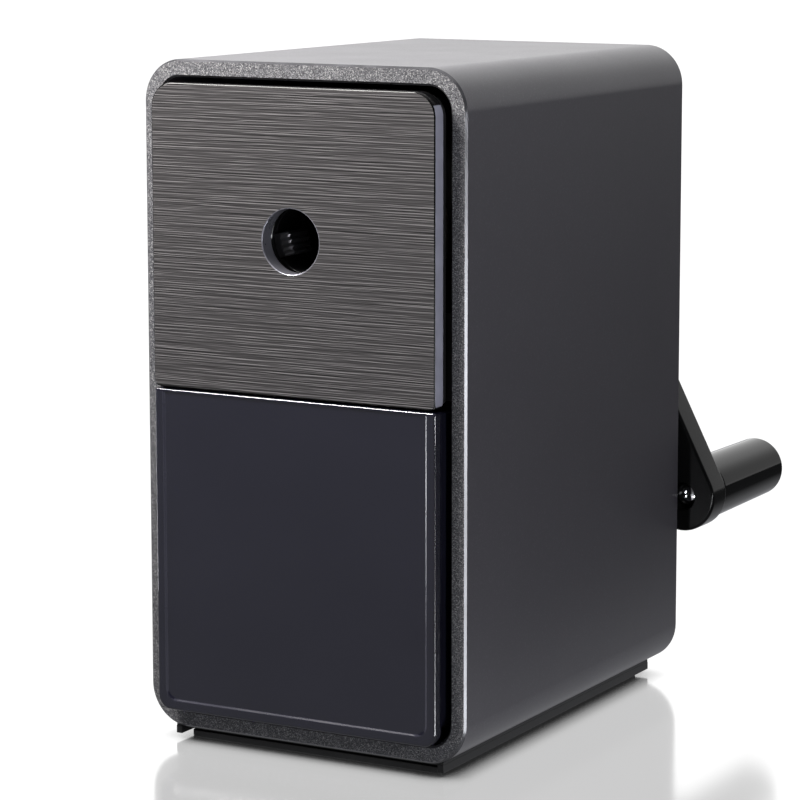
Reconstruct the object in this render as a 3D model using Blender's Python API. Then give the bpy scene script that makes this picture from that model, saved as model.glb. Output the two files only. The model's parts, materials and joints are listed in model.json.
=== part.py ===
"""Crank pencil sharpener: sleeve, front unit, shavings drawer and a geared helical cutter.

The front faces -Y, the crank is at +Y and +Z is up. The origin is at table level under the
centre of the sleeve. Lengths are in metres, and depths are measured behind the sleeve's rim.
"""
import math

import bmesh
import bpy
from mathutils import Matrix

MM = 0.001

# Sleeve
HEIGHT = 115.0 * MM
WIDTH = 60.5 * MM
DEPTH = 81.5 * MM
CORNER = 7.0 * MM
WALL = 2.9 * MM
SLEEVE_BOTTOM = 2.4 * MM

# Fits
GAP = 0.3 * MM
BAY_HALF = WIDTH / 2 - WALL
BAY_FLOOR = SLEEVE_BOTTOM + WALL
BAY_TOP = HEIGHT - WALL

# Front unit
AXIS_Z = 86.5 * MM
PLATE_PROUD = 3.6 * MM
PLATE_THICK = 2.8 * MM
PLATE_HALF = 26.6 * MM
PLATE_BOTTOM = 61.1 * MM
PLATE_TOP = 111.4 * MM
PENCIL_HOLE_R = 5.3 * MM
RING_RIM_R = 7.5 * MM

# Drawer
DRAWER_HALF = 26.6 * MM
DRAWER_FRONT = -3.5 * MM
DRAWER_FACE_REAR = -1.2 * MM
DRAWER_FACE_CORNER = 2.4 * MM
DRAWER_STEP = 0.4 * MM
DRAWER_REAR = 65.0 * MM
DRAWER_BOTTOM = 6.1 * MM
DRAWER_TOP = 60.7 * MM
DRAWER_WALL = 1.8 * MM
DRAWER_CORNER = 4.7 * MM

# Base
BASE_HALF = 25.8 * MM
BASE_FRONT = 0.7 * MM
BASE_REAR = 78.8 * MM
PAD_FRONT = 2.9 * MM
SKIRT = 1.1 * MM

# Jaws
JAW_ANGLES = {"top": 75.0, "left": 195.0, "right": 315.0}
JAW_FRONT = 1.5 * MM
JAW_REAR = 8.0 * MM
JAW_TIP_R = 3.3 * MM
JAW_MOUTH_R = 4.6 * MM
JAW_BACK_R = 8.8 * MM
JAW_HALF = 2.0 * MM
SHOULDER_R = 7.0 * MM
SHOULDER_HALF = 2.8 * MM
SLOT_END_R = 12.5 * MM

# Cutter gearing: ring gear and pinion are bevels with one common apex
RING_TEETH = 40
PINION_TEETH = 12
CUTTER_TILT = math.radians(11.0)
PINION_CONE = math.atan2(math.sin(CUTTER_TILT), RING_TEETH / PINION_TEETH - math.cos(CUTTER_TILT))
RING_CONE = PINION_CONE + CUTTER_TILT
APEX_DEPTH = 81.4 * MM
FACE_NEAR = 55.5 * MM
FACE_FAR = 59.5 * MM
CUTTER_R = 6.0 * MM
CUTTER_FRONT = 53.8 * MM
CUTTER_REAR = 31.0 * MM
AXLE_FRONT = 64.8 * MM
CUTTER_FLUTES = 9
AXLE_R = 1.5 * MM

# Crank
SHAFT_R = 3.0 * MM
SHAFT_START = 60.2 * MM
SHAFT_END = 88.4 * MM
ARM_FRONT = 84.0 * MM
ARM_REAR = 90.0 * MM
CRANK_RADIUS = 61.6 * MM
CRANK_ANGLE = math.radians(28.9)
HUB_R = 8.5 * MM
CRANK_HEAD_R = 3.9 * MM
PIN_SEAT = 87.1 * MM
ARM_END_R = 6.4 * MM
KNOB_R = 5.75 * MM
KNOB_END_R = 5.5 * MM
KNOB_END = 119.3 * MM
KNOB_X = CRANK_RADIUS * math.sin(CRANK_ANGLE)
KNOB_Z = AXIS_Z - CRANK_RADIUS * math.cos(CRANK_ANGLE)

# Front and rear face of each inner wall and of the carrier's disc, as depths
FRONT_WALL = (-0.5 * MM, 0.9 * MM)
GEAR_WEB = (20.0 * MM, 23.7 * MM)
REAR_WALL = (72.0 * MM, 75.0 * MM)
REAR_COVER = (75.3 * MM, 79.0 * MM)
DISC = (18.9 * MM, 21.7 * MM)
HUB_FRONT = 53.2 * MM
DECK_LOW = 62.0 * MM
DECK_HIGH = 63.8 * MM
DISC_R = 15.9 * MM
BUSHING_R = 5.8 * MM
HOUSING_FRONT = 1.2 * MM
TUBE_FRONT = 9.3 * MM
TUBE_REAR = 18.6 * MM

# Screws
TAP_R = 1.5 * MM
SHANK_R = 1.2 * MM
REAR_HEAD_R = 2.7 * MM
BASE_HEAD_R = 2.6 * MM
RING_TAP_R = 1.4 * MM

# Screw places, as (x, z) on the rear cover and (x, depth, shank top) on the base
REAR_SCREWS = [(x * MM, z * MM) for x in (-20.0, 20.0) for z in (17.0, 103.0)]
BASE_SCREWS = [(x * MM, d * MM, top * MM) for x in (-18.0, 18.0) for d, top in ((12.0, 4.6), (69.0, 10.0))]
RING_SCREW_X = 19.1 * MM


def depth(value):
    """World Y of a depth behind the sleeve's rim."""
    return value - DEPTH / 2


# Shapes


def arc(cx, cy, radius, start, end, steps):
    """Points along an arc, angles in degrees."""
    angles = [math.radians(start + (end - start) * i / steps) for i in range(steps + 1)]
    return [(cx + radius * math.cos(a), cy + radius * math.sin(a)) for a in angles]


def rounded_rect(half, low, high, low_radius, high_radius, steps=6):
    """Outline centred on x = 0, with its own radius at the lower and upper corners."""
    points = arc(half - low_radius, low + low_radius, low_radius, -90, 0, steps)
    points += arc(half - high_radius, high - high_radius, high_radius, 0, 90, steps)
    points += arc(high_radius - half, high - high_radius, high_radius, 90, 180, steps)
    points += arc(low_radius - half, low + low_radius, low_radius, 180, 270, steps)
    return points


def circle(radius, count, cx=0.0, cy=0.0):
    turns = [math.tau * i / count for i in range(count)]
    return [(cx + radius * math.cos(a), cy + radius * math.sin(a)) for a in turns]


def tangent_link(length, near_radius, far_radius, steps=14):
    """Outline of two circles joined by tangents; the far circle lies at +X."""
    lean = math.degrees(math.acos((near_radius - far_radius) / length))
    points = arc(0, 0, near_radius, lean, 360 - lean, steps)
    return points + arc(length, 0, far_radius, -lean, lean, steps)


def turned(points, steps=28):
    """Solid of revolution about local Z, from (radius, height) points."""
    bm = bmesh.new()
    verts = [bm.verts.new((r, 0, h)) for r, h in points]
    edges = [bm.edges.new(pair) for pair in zip(verts, verts[1:])]
    if points[0][0] > 0:
        edges.append(bm.edges.new((verts[-1], verts[0])))
    bmesh.ops.spin(
        bm, geom=verts + edges, cent=(0, 0, 0), axis=(0, 0, 1), angle=math.tau, steps=steps, use_merge=True
    )
    bmesh.ops.remove_doubles(bm, verts=bm.verts, dist=0.001 * MM)
    return bm


def prism(outline, low, high, bm=None, upright=False):
    """Extrude an XZ outline along Y, or an XY outline along Z when upright."""
    bm = bm or bmesh.new()
    corners = [(a, b, low) if upright else (a, low, b) for a, b in outline]
    face = bm.faces.new([bm.verts.new(corner) for corner in corners])
    extruded = bmesh.ops.extrude_face_region(bm, geom=[face])["geom"]
    moved = [item for item in extruded if isinstance(item, bmesh.types.BMVert)]
    step = (0, 0, high - low) if upright else (0, high - low, 0)
    bmesh.ops.translate(bm, verts=moved, vec=step)
    return bm


def box(half_x, low_y, high_y, low_z, high_z, cx=0.0, bm=None):
    outline = [(cx - half_x, low_z), (cx + half_x, low_z), (cx + half_x, high_z), (cx - half_x, high_z)]
    return prism(outline, low_y, high_y, bm)


def bridge(bm, first, second):
    for i in range(len(first)):
        j = (i + 1) % len(first)
        bm.faces.new((first[i], first[j], second[j], second[i]))


def loft(sections, bores=None):
    """Solid through rings of (x, y, z) points; with bores, a tube with its own inner rings."""
    bm = bmesh.new()
    outer = [[bm.verts.new(p) for p in ring] for ring in sections]
    for a, b in zip(outer, outer[1:]):
        bridge(bm, a, b)
    if bores is None:
        bm.faces.new(outer[0])
        bm.faces.new(outer[-1])
        return bm
    inner = [[bm.verts.new(p) for p in ring] for ring in bores]
    for a, b in zip(inner, inner[1:]):
        bridge(bm, a, b)
    bridge(bm, outer[0], inner[0])
    bridge(bm, outer[-1], inner[-1])
    return bm


def ring_at(outline, height):
    return [(x, y, height) for x, y in outline]


def merged(*parts):
    """One mesh from several that don't touch each other."""
    whole = bmesh.new()
    for part in parts:
        mesh = bpy.data.meshes.new("piece")
        part.to_mesh(mesh)
        part.free()
        whole.from_mesh(mesh)
        bpy.data.meshes.remove(mesh)
    return whole


def placed(bm, matrix):
    bmesh.ops.transform(bm, matrix=matrix, verts=bm.verts)
    return bm


def along_y(bm, start, x=0.0, z=AXIS_Z, tilt=0.0):
    """Put a turned shape's local Z along +Y, starting at a depth."""
    place = Matrix.Translation((x, depth(start), z))
    return placed(bm, place @ Matrix.Rotation(-math.pi / 2 - tilt, 4, "X"))


def hole(radius, start, end, x=0.0, z=AXIS_Z, steps=28):
    """A round cutter along Y between two depths."""
    return prism(circle(radius, steps, x, z), depth(start), depth(end))


# Objects


def material(name, colour, roughness, metallic=0.0, alpha=1.0):
    made = bpy.data.materials.new(name)
    made.use_nodes = True
    shader = made.node_tree.nodes["Principled BSDF"]
    shader.inputs["Base Color"].default_value = (*colour, 1.0)
    shader.inputs["Roughness"].default_value = roughness
    shader.inputs["Metallic"].default_value = metallic
    shader.inputs["Alpha"].default_value = alpha
    made.diffuse_color = (*colour, alpha)
    return made


def solid(name, bm, finish, smooth=True):
    bmesh.ops.recalc_face_normals(bm, faces=bm.faces)
    mesh = bpy.data.meshes.new(name)
    bm.to_mesh(mesh)
    bm.free()
    made = bpy.data.objects.new(name, mesh)
    bpy.context.scene.collection.objects.link(made)
    if finish is not None:
        mesh.materials.append(finish)
    if smooth:
        mesh.shade_smooth()
        mesh.set_sharp_from_angle(angle=math.radians(35))
    return made


def turned_part(name, points, finish, start=0.0, x=0.0, z=AXIS_Z, tilt=0.0, steps=28):
    """A turned piece whose origin stays on its own axis."""
    made = solid(name, turned(points, steps), finish)
    made.location = (x, depth(start), z)
    made.rotation_euler = (-math.pi / 2 - tilt, 0, 0)
    return made


def combine(target, bm, label, operation):
    tool = solid(f"tool_{target.name}_{label}", bm, None, smooth=False)
    tool.hide_render = True
    tool.display_type = "WIRE"
    change = target.modifiers.new(label, "BOOLEAN")
    change.operation = operation
    change.object = tool
    change.solver = "EXACT"


def cut(target, bm, label="cut"):
    combine(target, bm, label, "DIFFERENCE")


def add(target, bm, label="add"):
    combine(target, bm, label, "UNION")


def bevel(target, width, segments=1, angle=50.0):
    change = target.modifiers.new("edge", "BEVEL")
    change.width = width
    change.segments = segments
    change.limit_method = "ANGLE"
    change.angle_limit = math.radians(angle)


def axis_empty(name, x, y, z, parent=None):
    made = bpy.data.objects.new(name, None)
    made.empty_display_size = 5 * MM
    made.location = (x, y, z)
    bpy.context.scene.collection.objects.link(made)
    if parent is not None:
        attach(parent, [made])
    return made


def attach(parent, children):
    """Parent pieces without moving them."""
    bpy.context.view_layer.update()
    for child in children:
        child.parent = parent
        child.matrix_parent_inverse = parent.matrix_world.inverted()


# Case


def base_screw_hole(x, at_depth, top):
    return prism(circle(TAP_R, 16, x, depth(at_depth)), 0.0, top + GAP, upright=True)


def make_outer_sleeve(finish):
    outer = rounded_rect(WIDTH / 2, SLEEVE_BOTTOM, HEIGHT, CORNER, CORNER, steps=8)
    bay_corner = CORNER - WALL
    inner = rounded_rect(BAY_HALF, BAY_FLOOR, BAY_TOP, bay_corner, bay_corner, steps=8)
    ends = (depth(0), depth(DEPTH))
    tube = loft(
        [[(x, y, z) for x, z in outer] for y in ends],
        [[(x, y, z) for x, z in inner] for y in ends],
    )
    sleeve = solid("outer_sleeve", tube, finish)
    bevel(sleeve, 0.4 * MM)
    cut(sleeve, merged(*[base_screw_hole(*place) for place in BASE_SCREWS]), "screw_holes")
    return sleeve


def make_front_plate(finish):
    outline = rounded_rect(PLATE_HALF, PLATE_BOTTOM, PLATE_TOP, 0.8 * MM, 4.0 * MM, steps=5)
    slab = prism(outline, depth(-PLATE_PROUD), depth(PLATE_THICK - PLATE_PROUD))
    plate = solid("front_plate", slab, finish)
    bevel(plate, 0.4 * MM)
    cut(plate, hole(PENCIL_HOLE_R, -PLATE_PROUD - 1 * MM, 1 * MM), "pencil_hole")
    return plate


def make_entry_ring(finish):
    lip, bore, thick, chamfer = 5.9 * MM, 5.5 * MM, 1.1 * MM, 0.4 * MM
    points = [(lip, 0), (RING_RIM_R, 0), (RING_RIM_R, thick), (bore, thick), (bore, chamfer)]
    return turned_part("entry_ring", points, finish, start=FRONT_WALL[0])


def make_front_frame(finish):
    """Flat frame behind the plate; it carries the entry ring and closes the jaw slots."""
    near, far = FRONT_WALL
    inset = 0.5 * MM
    low, high = PLATE_BOTTOM + inset, PLATE_TOP - inset
    outline = rounded_rect(PLATE_HALF - inset, low, high, 0.6 * MM, 3.6 * MM, steps=4)
    frame = solid("front_frame", prism(outline, depth(near), depth(far)), finish)
    cut(frame, hole(RING_RIM_R + GAP, near - 1 * MM, far + 1 * MM), "ring_seat")
    return frame


def chassis_walls():
    web = rounded_rect(24.9 * MM, DECK_LOW + 1 * MM, 108.5 * MM, 0.5 * MM, 10.0 * MM, steps=4)
    rear = rounded_rect(BAY_HALF - 0.4 * MM, BAY_FLOOR + GAP, BAY_TOP - GAP, 3.6 * MM, 3.6 * MM, steps=4)
    walls = ((web, GEAR_WEB), (rear, REAR_WALL))
    return merged(*[prism(outline, depth(near), depth(far)) for outline, (near, far) in walls])


def chassis_feet():
    """Blocks for the rear base screws and bosses for the rear cover's screws, on the rear wall."""
    inside = REAR_WALL[0] + 1 * MM
    low, high, half, length = BAY_FLOOR + 0.35 * MM, 11 * MM, 4 * MM, 7 * MM
    feet = [
        box(half, depth(inside - length), depth(inside), low, high, cx=x) for x, _, top in BASE_SCREWS
        if top > BAY_FLOOR
    ]
    bosses = [hole(2 * TAP_R, inside - 5 * MM, inside, x, z, steps=16) for x, z in REAR_SCREWS]
    return merged(*feet, *bosses)


def chassis_openings():
    over, web_middle, tap = 1 * MM, sum(GEAR_WEB) / 2, 3 * MM
    shavings_gap = box(15 * MM, depth(27 * MM), depth(60 * MM), DECK_LOW - over, DECK_HIGH + over)
    foot_holes = [base_screw_hole(*place) for place in BASE_SCREWS if place[2] > BAY_FLOOR]
    rear_holes = [hole(TAP_R, 67 * MM, 76 * MM, x, z, steps=16) for x, z in REAR_SCREWS]
    ring_holes = [
        hole(RING_TAP_R, web_middle - tap, web_middle + tap, x, steps=16)
        for x in (-RING_SCREW_X, RING_SCREW_X)
    ]
    round_openings = [
        hole(DISC_R + GAP, GEAR_WEB[0] - over, GEAR_WEB[1] + over, steps=36),
        hole(BUSHING_R + GAP, REAR_WALL[0] - over, REAR_WALL[1] + over),
    ]
    return merged(shavings_gap, *round_openings, *foot_holes, *rear_holes, *ring_holes)


def make_chassis(finish):
    """Deck channel, gear web and full-height rear wall as one moulding."""
    half, side, side_top = BAY_HALF - 0.45 * MM, 1.3 * MM, 76.0 * MM
    channel = [
        (-half, DECK_LOW), (half, DECK_LOW), (half, side_top), (half - side, side_top),
        (half - side, DECK_HIGH), (side - half, DECK_HIGH), (side - half, side_top), (-half, side_top),
    ]
    deck = prism(channel, depth(FRONT_WALL[1] + GAP), depth(REAR_WALL[0] + 1 * MM))
    chassis = solid("chassis", deck, finish)
    add(chassis, chassis_walls(), "walls")
    add(chassis, chassis_feet(), "feet")
    cut(chassis, chassis_openings(), "openings")
    return chassis


def make_rear_cover(finish):
    near, far = REAR_COVER
    seat = far - 1.5 * MM
    outline = rounded_rect(BAY_HALF - GAP, BAY_FLOOR + GAP, BAY_TOP - GAP, 3.8 * MM, 3.8 * MM, steps=5)
    cover = solid("rear_cover", prism(outline, depth(near), depth(far)), finish)
    bevel(cover, 0.4 * MM)
    seats = [hole(REAR_HEAD_R + GAP, seat, far + 1 * MM, x, z, steps=24) for x, z in REAR_SCREWS]
    cut(cover, merged(hole(BUSHING_R + GAP, near - 1 * MM, far + 1 * MM), *seats), "seats")
    shanks = [hole(TAP_R, near - 1 * MM, seat + 0.5 * MM, x, z, steps=16) for x, z in REAR_SCREWS]
    cut(cover, merged(*shanks), "screw_holes")
    return cover


def make_base_tray(finish):
    front, rear, pad = depth(BASE_FRONT), depth(BASE_REAR), depth(PAD_FRONT)
    inner, inner_rear = BASE_HALF - SKIRT, depth(BASE_REAR - SKIRT)
    skirt = [
        (-BASE_HALF, front), (-inner, front), (-inner, inner_rear), (inner, inner_rear),
        (inner, front), (BASE_HALF, front), (BASE_HALF, rear), (-BASE_HALF, rear),
    ]
    tray = solid("base_tray", prism(skirt, 0.9 * MM, 2.25 * MM, upright=True), finish)
    reach = BASE_HALF - SKIRT / 2
    plate = [(-reach, pad), (reach, pad), (reach, rear - SKIRT / 2), (-reach, rear - SKIRT / 2)]
    add(tray, prism(plate, 1.4 * MM, 2.1 * MM, upright=True), "plate")
    cut(tray, merged(*[base_screw_hole(*place) for place in BASE_SCREWS]), "screw_holes")
    return tray


def make_foot_pad(finish):
    half, rear = BASE_HALF - SKIRT - 0.4 * MM, BASE_REAR - SKIRT - 0.4 * MM
    outline = rounded_rect(half, depth(PAD_FRONT), depth(rear), 1 * MM, 1 * MM, steps=3)
    pad = solid("foot_pad", prism(outline, 0.0, 1.1 * MM, upright=True), finish)
    cutters = [
        prism(circle(BASE_HEAD_R + 0.8 * MM, 20, x, depth(d)), -1 * MM, 2 * MM, upright=True)
        for x, d, _ in BASE_SCREWS
    ]
    cut(pad, merged(*cutters), "access_holes")
    return pad


def make_shavings_drawer(finish):
    """Open tray; its face stands a little wider than the tray behind it."""
    face_outline = rounded_rect(
        DRAWER_HALF, DRAWER_BOTTOM, DRAWER_TOP, DRAWER_FACE_CORNER, 0.5 * MM, steps=6
    )
    face = prism(face_outline, depth(DRAWER_FRONT), depth(DRAWER_FACE_REAR))
    drawer = solid("shavings_drawer", face, finish)
    bevel(drawer, 0.3 * MM)
    half, low, high = DRAWER_HALF - DRAWER_STEP, DRAWER_BOTTOM + DRAWER_STEP, DRAWER_TOP - DRAWER_STEP
    tray_outline = rounded_rect(half, low, high, DRAWER_CORNER, 0.5 * MM, steps=6)
    add(drawer, prism(tray_outline, depth(DRAWER_FACE_REAR - 0.6 * MM), depth(DRAWER_REAR)), "tray")
    runners = [
        box(1 * MM, depth(2 * MM), depth(64 * MM), 5.6 * MM, low + 0.2 * MM, cx=s * 16 * MM) for s in (-1, 1)
    ]
    add(drawer, merged(*runners), "runners")
    inner_half = half - DRAWER_WALL
    inside = rounded_rect(inner_half, low + DRAWER_WALL, DRAWER_TOP + 9 * MM, 1.2 * MM, 1.2 * MM)
    cut(drawer, prism(inside, depth(DRAWER_FRONT + 2 * MM), depth(DRAWER_REAR - DRAWER_WALL)), "inside")
    return drawer


# Pencil grip


def jaw_section(tip_radius, at_depth):
    """Jaw cross-section: four axial ridges at the tip, shoulders at the back."""
    ridges, ridge_high = 4, 0.35 * MM
    pitch = 2 * JAW_HALF / ridges
    tip = []
    for i in range(ridges):
        edge = -JAW_HALF + i * pitch
        tip += [(tip_radius + ridge_high, edge), (tip_radius, edge + pitch / 2)]
    tip.append((tip_radius + ridge_high, JAW_HALF))
    back = [
        (SHOULDER_R, JAW_HALF), (SHOULDER_R, SHOULDER_HALF), (JAW_BACK_R, SHOULDER_HALF),
        (JAW_BACK_R, -SHOULDER_HALF), (SHOULDER_R, -SHOULDER_HALF), (SHOULDER_R, -JAW_HALF),
    ]
    return [(radius, depth(at_depth), side) for radius, side in tip + back]


def make_jaw(side, angle, finish):
    sections = [
        jaw_section(JAW_MOUTH_R, JAW_FRONT),
        jaw_section(JAW_TIP_R, JAW_FRONT + 0.9 * MM),
        jaw_section(JAW_TIP_R, JAW_REAR),
    ]
    jaw = solid(f"grip_jaw_{side}", loft(sections), finish, smooth=False)
    jaw.location = (0, 0, AXIS_Z)
    jaw.rotation_euler = (0, -math.radians(angle), 0)
    return jaw


def make_jaw_spring(side, angle, finish):
    """Compression spring between a jaw's back and the end of its slot."""
    coil_r, wire_r, turns, around = 1.4 * MM, 0.2 * MM, 3, 9
    start = JAW_BACK_R + GAP + wire_r
    length = SLOT_END_R - GAP - wire_r - start
    middle = depth((JAW_FRONT + JAW_REAR) / 2)
    sections = []
    for i in range(turns * around + 1):
        turn = math.tau * i / around
        centre = start + length * i / (turns * around)
        sections.append([
            (centre + wire_r * math.sin(a), middle + (coil_r + wire_r * math.cos(a)) * math.cos(turn),
             (coil_r + wire_r * math.cos(a)) * math.sin(turn))
            for a in (math.tau * k / 6 for k in range(6))
        ])
    spring = solid(f"jaw_spring_{side}", loft(sections), finish)
    spring.location = (0, 0, AXIS_Z)
    spring.rotation_euler = (0, -math.radians(angle), 0)
    return spring


def make_jaw_housing(finish):
    bore, outer, length = 5.6 * MM, 14.0 * MM, TUBE_FRONT - GAP - HOUSING_FRONT
    points = [(bore, 0), (outer, 0), (outer, length), (bore, length)]
    housing = turned_part("jaw_housing", points, finish, start=HOUSING_FRONT, steps=36)
    narrow, wide = JAW_HALF + GAP, SHOULDER_HALF + GAP
    start, step = 4 * MM, SHOULDER_R - GAP
    slot = [
        (start, -narrow), (step, -narrow), (step, -wide), (SLOT_END_R, -wide),
        (SLOT_END_R, wide), (step, wide), (step, narrow), (start, narrow),
    ]
    slots = []
    for angle in JAW_ANGLES.values():
        turn = Matrix.Translation((0, 0, AXIS_Z)) @ Matrix.Rotation(-math.radians(angle), 4, "Y")
        slots.append(placed(prism(slot, depth(0), depth(JAW_REAR + GAP)), turn))
    cut(housing, merged(*slots), "slots")
    return housing


def make_guide_tube(finish):
    bore, outer, flange, flange_thick = 4.6 * MM, 6.4 * MM, 9.0 * MM, 1.2 * MM
    mouth, funnel, length = 5.6 * MM, 2.0 * MM, TUBE_REAR - TUBE_FRONT
    points = [
        (mouth, 0), (flange, 0), (flange, flange_thick), (outer, flange_thick),
        (outer, length), (bore, length), (bore, funnel),
    ]
    return turned_part("guide_tube", points, finish, start=TUBE_FRONT)


# Gearing


def gear_outline(teeth, pitch_radius, module, inward, phase=0.0):
    """Tooth outline: flat-topped teeth with ample backlash."""
    sign = -1 if inward else 1
    tip = pitch_radius + sign * 0.7 * module
    root = pitch_radius - sign * 1.1 * module
    pitch = math.tau / teeth
    outline = []
    for i in range(teeth):
        centre = phase + i * pitch
        for radius, lean in ((root, -0.27), (tip, -0.11), (tip, 0.11), (root, 0.27)):
            angle = centre + lean * pitch
            outline.append((radius * math.cos(angle), radius * math.sin(angle)))
    return outline


def make_ring_gear(finish):
    phase = math.pi / RING_TEETH
    outer_radius = 21.5 * MM
    rings, rims = [], []
    for slant in (FACE_FAR, FACE_NEAR):
        pitch_radius = slant * math.sin(RING_CONE)
        outline = gear_outline(RING_TEETH, pitch_radius, 2 * pitch_radius / RING_TEETH, True, phase)
        height = -slant * math.cos(RING_CONE)
        rings.append(ring_at(outline, height))
        angles = [math.atan2(y, x) for x, y in outline]
        rim = [(outer_radius * math.cos(a), outer_radius * math.sin(a)) for a in angles]
        rims.append(ring_at(rim, height))
    gear = solid("ring_gear", loft(rims, rings), finish)
    gear.location = (0, depth(APEX_DEPTH), AXIS_Z)
    gear.rotation_euler = (-math.pi / 2, 0, 0)
    holes = [hole(RING_TAP_R, 20 * MM, 31 * MM, x, steps=16) for x in (-RING_SCREW_X, RING_SCREW_X)]
    cut(gear, merged(*holes), "screw_holes")
    return gear


def on_cutter_axis(name, bm, finish):
    made = solid(name, bm, finish)
    made.location = (0, depth(APEX_DEPTH), AXIS_Z)
    made.rotation_euler = (-math.pi / 2 - CUTTER_TILT, 0, 0)
    return made


def make_cutter_pinion(finish):
    sections, bores = [], []
    for slant in (FACE_FAR, FACE_NEAR):
        pitch_radius = slant * math.sin(PINION_CONE)
        outline = gear_outline(PINION_TEETH, pitch_radius, 2 * pitch_radius / PINION_TEETH, False)
        height = -slant * math.cos(PINION_CONE)
        sections.append(ring_at(outline, height))
        bores.append(ring_at(circle(AXLE_R + GAP, 4 * PINION_TEETH), height))
    return on_cutter_axis("cutter_pinion", loft(sections, bores), finish)


def make_helical_cutter(finish):
    front, rear, twist, steps = CUTTER_FRONT, CUTTER_REAR, math.radians(75.0), 10
    pitch = math.tau / CUTTER_FLUTES
    floor = CUTTER_R - 1.5 * MM
    tooth = ((CUTTER_R, 0.0), (CUTTER_R - 0.1 * MM, 0.2), (floor + 0.2 * MM, 0.45), (floor, 0.9))
    sections = []
    for i in range(steps + 1):
        turn = twist * i / steps
        outline = []
        for flute in range(CUTTER_FLUTES):
            start = turn + flute * pitch
            for radius, lean in tooth:
                angle = start + lean * pitch
                outline.append((radius * math.cos(angle), radius * math.sin(angle)))
        sections.append(ring_at(outline, -front + (front - rear) * i / steps))
    bore = circle(AXLE_R + GAP, 4 * CUTTER_FLUTES)
    bores = [ring_at(bore, -front), ring_at(bore, -rear)]
    return on_cutter_axis("helical_cutter", loft(sections, bores), finish)


def make_cutter_axle(finish):
    head_r, head, length = 2.4 * MM, 1.0 * MM, 40.5 * MM
    shape = turned(screw_points(head_r, head, AXLE_R, length), 20)
    bmesh.ops.translate(shape, verts=shape.verts, vec=(0, 0, -AXLE_FRONT))
    return on_cutter_axis("cutter_axle", shape, finish)


def make_cutter_carrier(finish):
    """Front disc with the pencil bore, guard shell opposite the cutter, hub for the shaft."""
    bore, thick = 4.7 * MM, DISC[1] - DISC[0]
    disc = [(bore, 0), (DISC_R, 0), (DISC_R, thick), (bore, thick)]
    carrier = turned_part("cutter_carrier", disc, finish, start=DISC[0], steps=36)
    shell_outer, shell_inner, first, last = 12.8 * MM, 10.6 * MM, 205, 335
    shell = arc(0, AXIS_Z, shell_outer, first, last, 14) + arc(0, AXIS_Z, shell_inner, last, first, 14)
    add(carrier, prism(shell, depth(DISC[1] - 0.7 * MM), depth(HUB_FRONT + 0.8 * MM)), "shell")
    hub_r, neck_r, hub_end = 12.0 * MM, 7.0 * MM, 11.2 * MM
    hub = [(0, 0), (hub_r, 0), (hub_r, 4.0 * MM), (neck_r, 6.5 * MM), (neck_r, hub_end), (0, hub_end)]
    add(carrier, along_y(turned(hub), HUB_FRONT), "hub")
    low, high = -AXLE_FRONT - 5 * MM, -24 * MM
    axle_bore = turned([(0, low), (AXLE_R + GAP, low), (AXLE_R + GAP, high), (0, high)], 20)
    holes = merged(
        along_y(axle_bore, APEX_DEPTH, tilt=CUTTER_TILT),
        hole(SHAFT_R + GAP, SHAFT_START - GAP, SHAFT_START + 10 * MM),
    )
    cut(carrier, holes, "bores")
    return carrier


# Crank


def make_drive_shaft(finish):
    length, tap_r = SHAFT_END - SHAFT_START, 1.6 * MM
    tap_start = length - 6.4 * MM
    points = [(0, 0), (SHAFT_R, 0), (SHAFT_R, length), (tap_r, length), (tap_r, tap_start), (0, tap_start)]
    return turned_part("drive_shaft", points, finish, start=SHAFT_START)


def make_shaft_bushing(finish):
    bore, flange_r, flange, length = SHAFT_R + GAP, 8.0 * MM, 8.3 * MM, 9.5 * MM
    points = [
        (bore, 0), (BUSHING_R, 0), (BUSHING_R, flange),
        (flange_r, flange), (flange_r, length), (bore, length),
    ]
    return turned_part("shaft_bushing", points, finish, start=REAR_WALL[0] - 1 * MM)


def make_shaft_clip(finish):
    front, thick, outer_r = REAR_WALL[0] - 2.3 * MM, 0.9 * MM, 5.0 * MM
    outline = arc(0, AXIS_Z, SHAFT_R + GAP, 60, 360, 18) + arc(0, AXIS_Z, outer_r, 360, 60, 18)
    return solid("shaft_clip", prism(outline, depth(front), depth(front + thick)), finish)


def make_crank_arm(finish):
    outline = tangent_link(CRANK_RADIUS, HUB_R, ARM_END_R)
    arm = solid("crank_arm", prism(outline, depth(ARM_FRONT), depth(ARM_REAR)), finish)
    arm.location = (0, 0, AXIS_Z)
    arm.rotation_euler = (0, math.pi / 2 - CRANK_ANGLE, 0)
    bevel(arm, 0.6 * MM)
    over, hub_front = 1 * MM, 80.8 * MM
    hub_boss = hole(6.5 * MM, hub_front, ARM_FRONT + over)
    knob_boss = hole(5.2 * MM, ARM_REAR - over, ARM_REAR + 0.6 * MM, KNOB_X, KNOB_Z)
    add(arm, merged(hub_boss, knob_boss), "bosses")
    bores = merged(
        hole(SHAFT_R + GAP, hub_front - over, SHAFT_END + 0.1 * MM),
        hole(AXLE_R + GAP, ARM_FRONT - over, ARM_REAR + 2 * over, KNOB_X, KNOB_Z, steps=24),
    )
    cut(arm, bores, "bores")
    seats = merged(
        hole(CRANK_HEAD_R + GAP, SHAFT_END, ARM_REAR + over),
        hole(2.6 * MM, ARM_FRONT - over, PIN_SEAT + GAP, KNOB_X, KNOB_Z, steps=24),
    )
    cut(arm, seats, "screw_seats")
    return arm


def screw_points(head_radius, head, shank_radius, length):
    """Pan-head screw with its shank towards +Z."""
    return [
        (0, -head), (head_radius * 0.8, -head), (head_radius, -head * 0.6), (head_radius, 0),
        (shank_radius, 0), (shank_radius, length), (0, length),
    ]


def flipped(points):
    """The same turned shape pointing the other way."""
    return [(radius, -height) for radius, height in reversed(points)]


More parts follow.
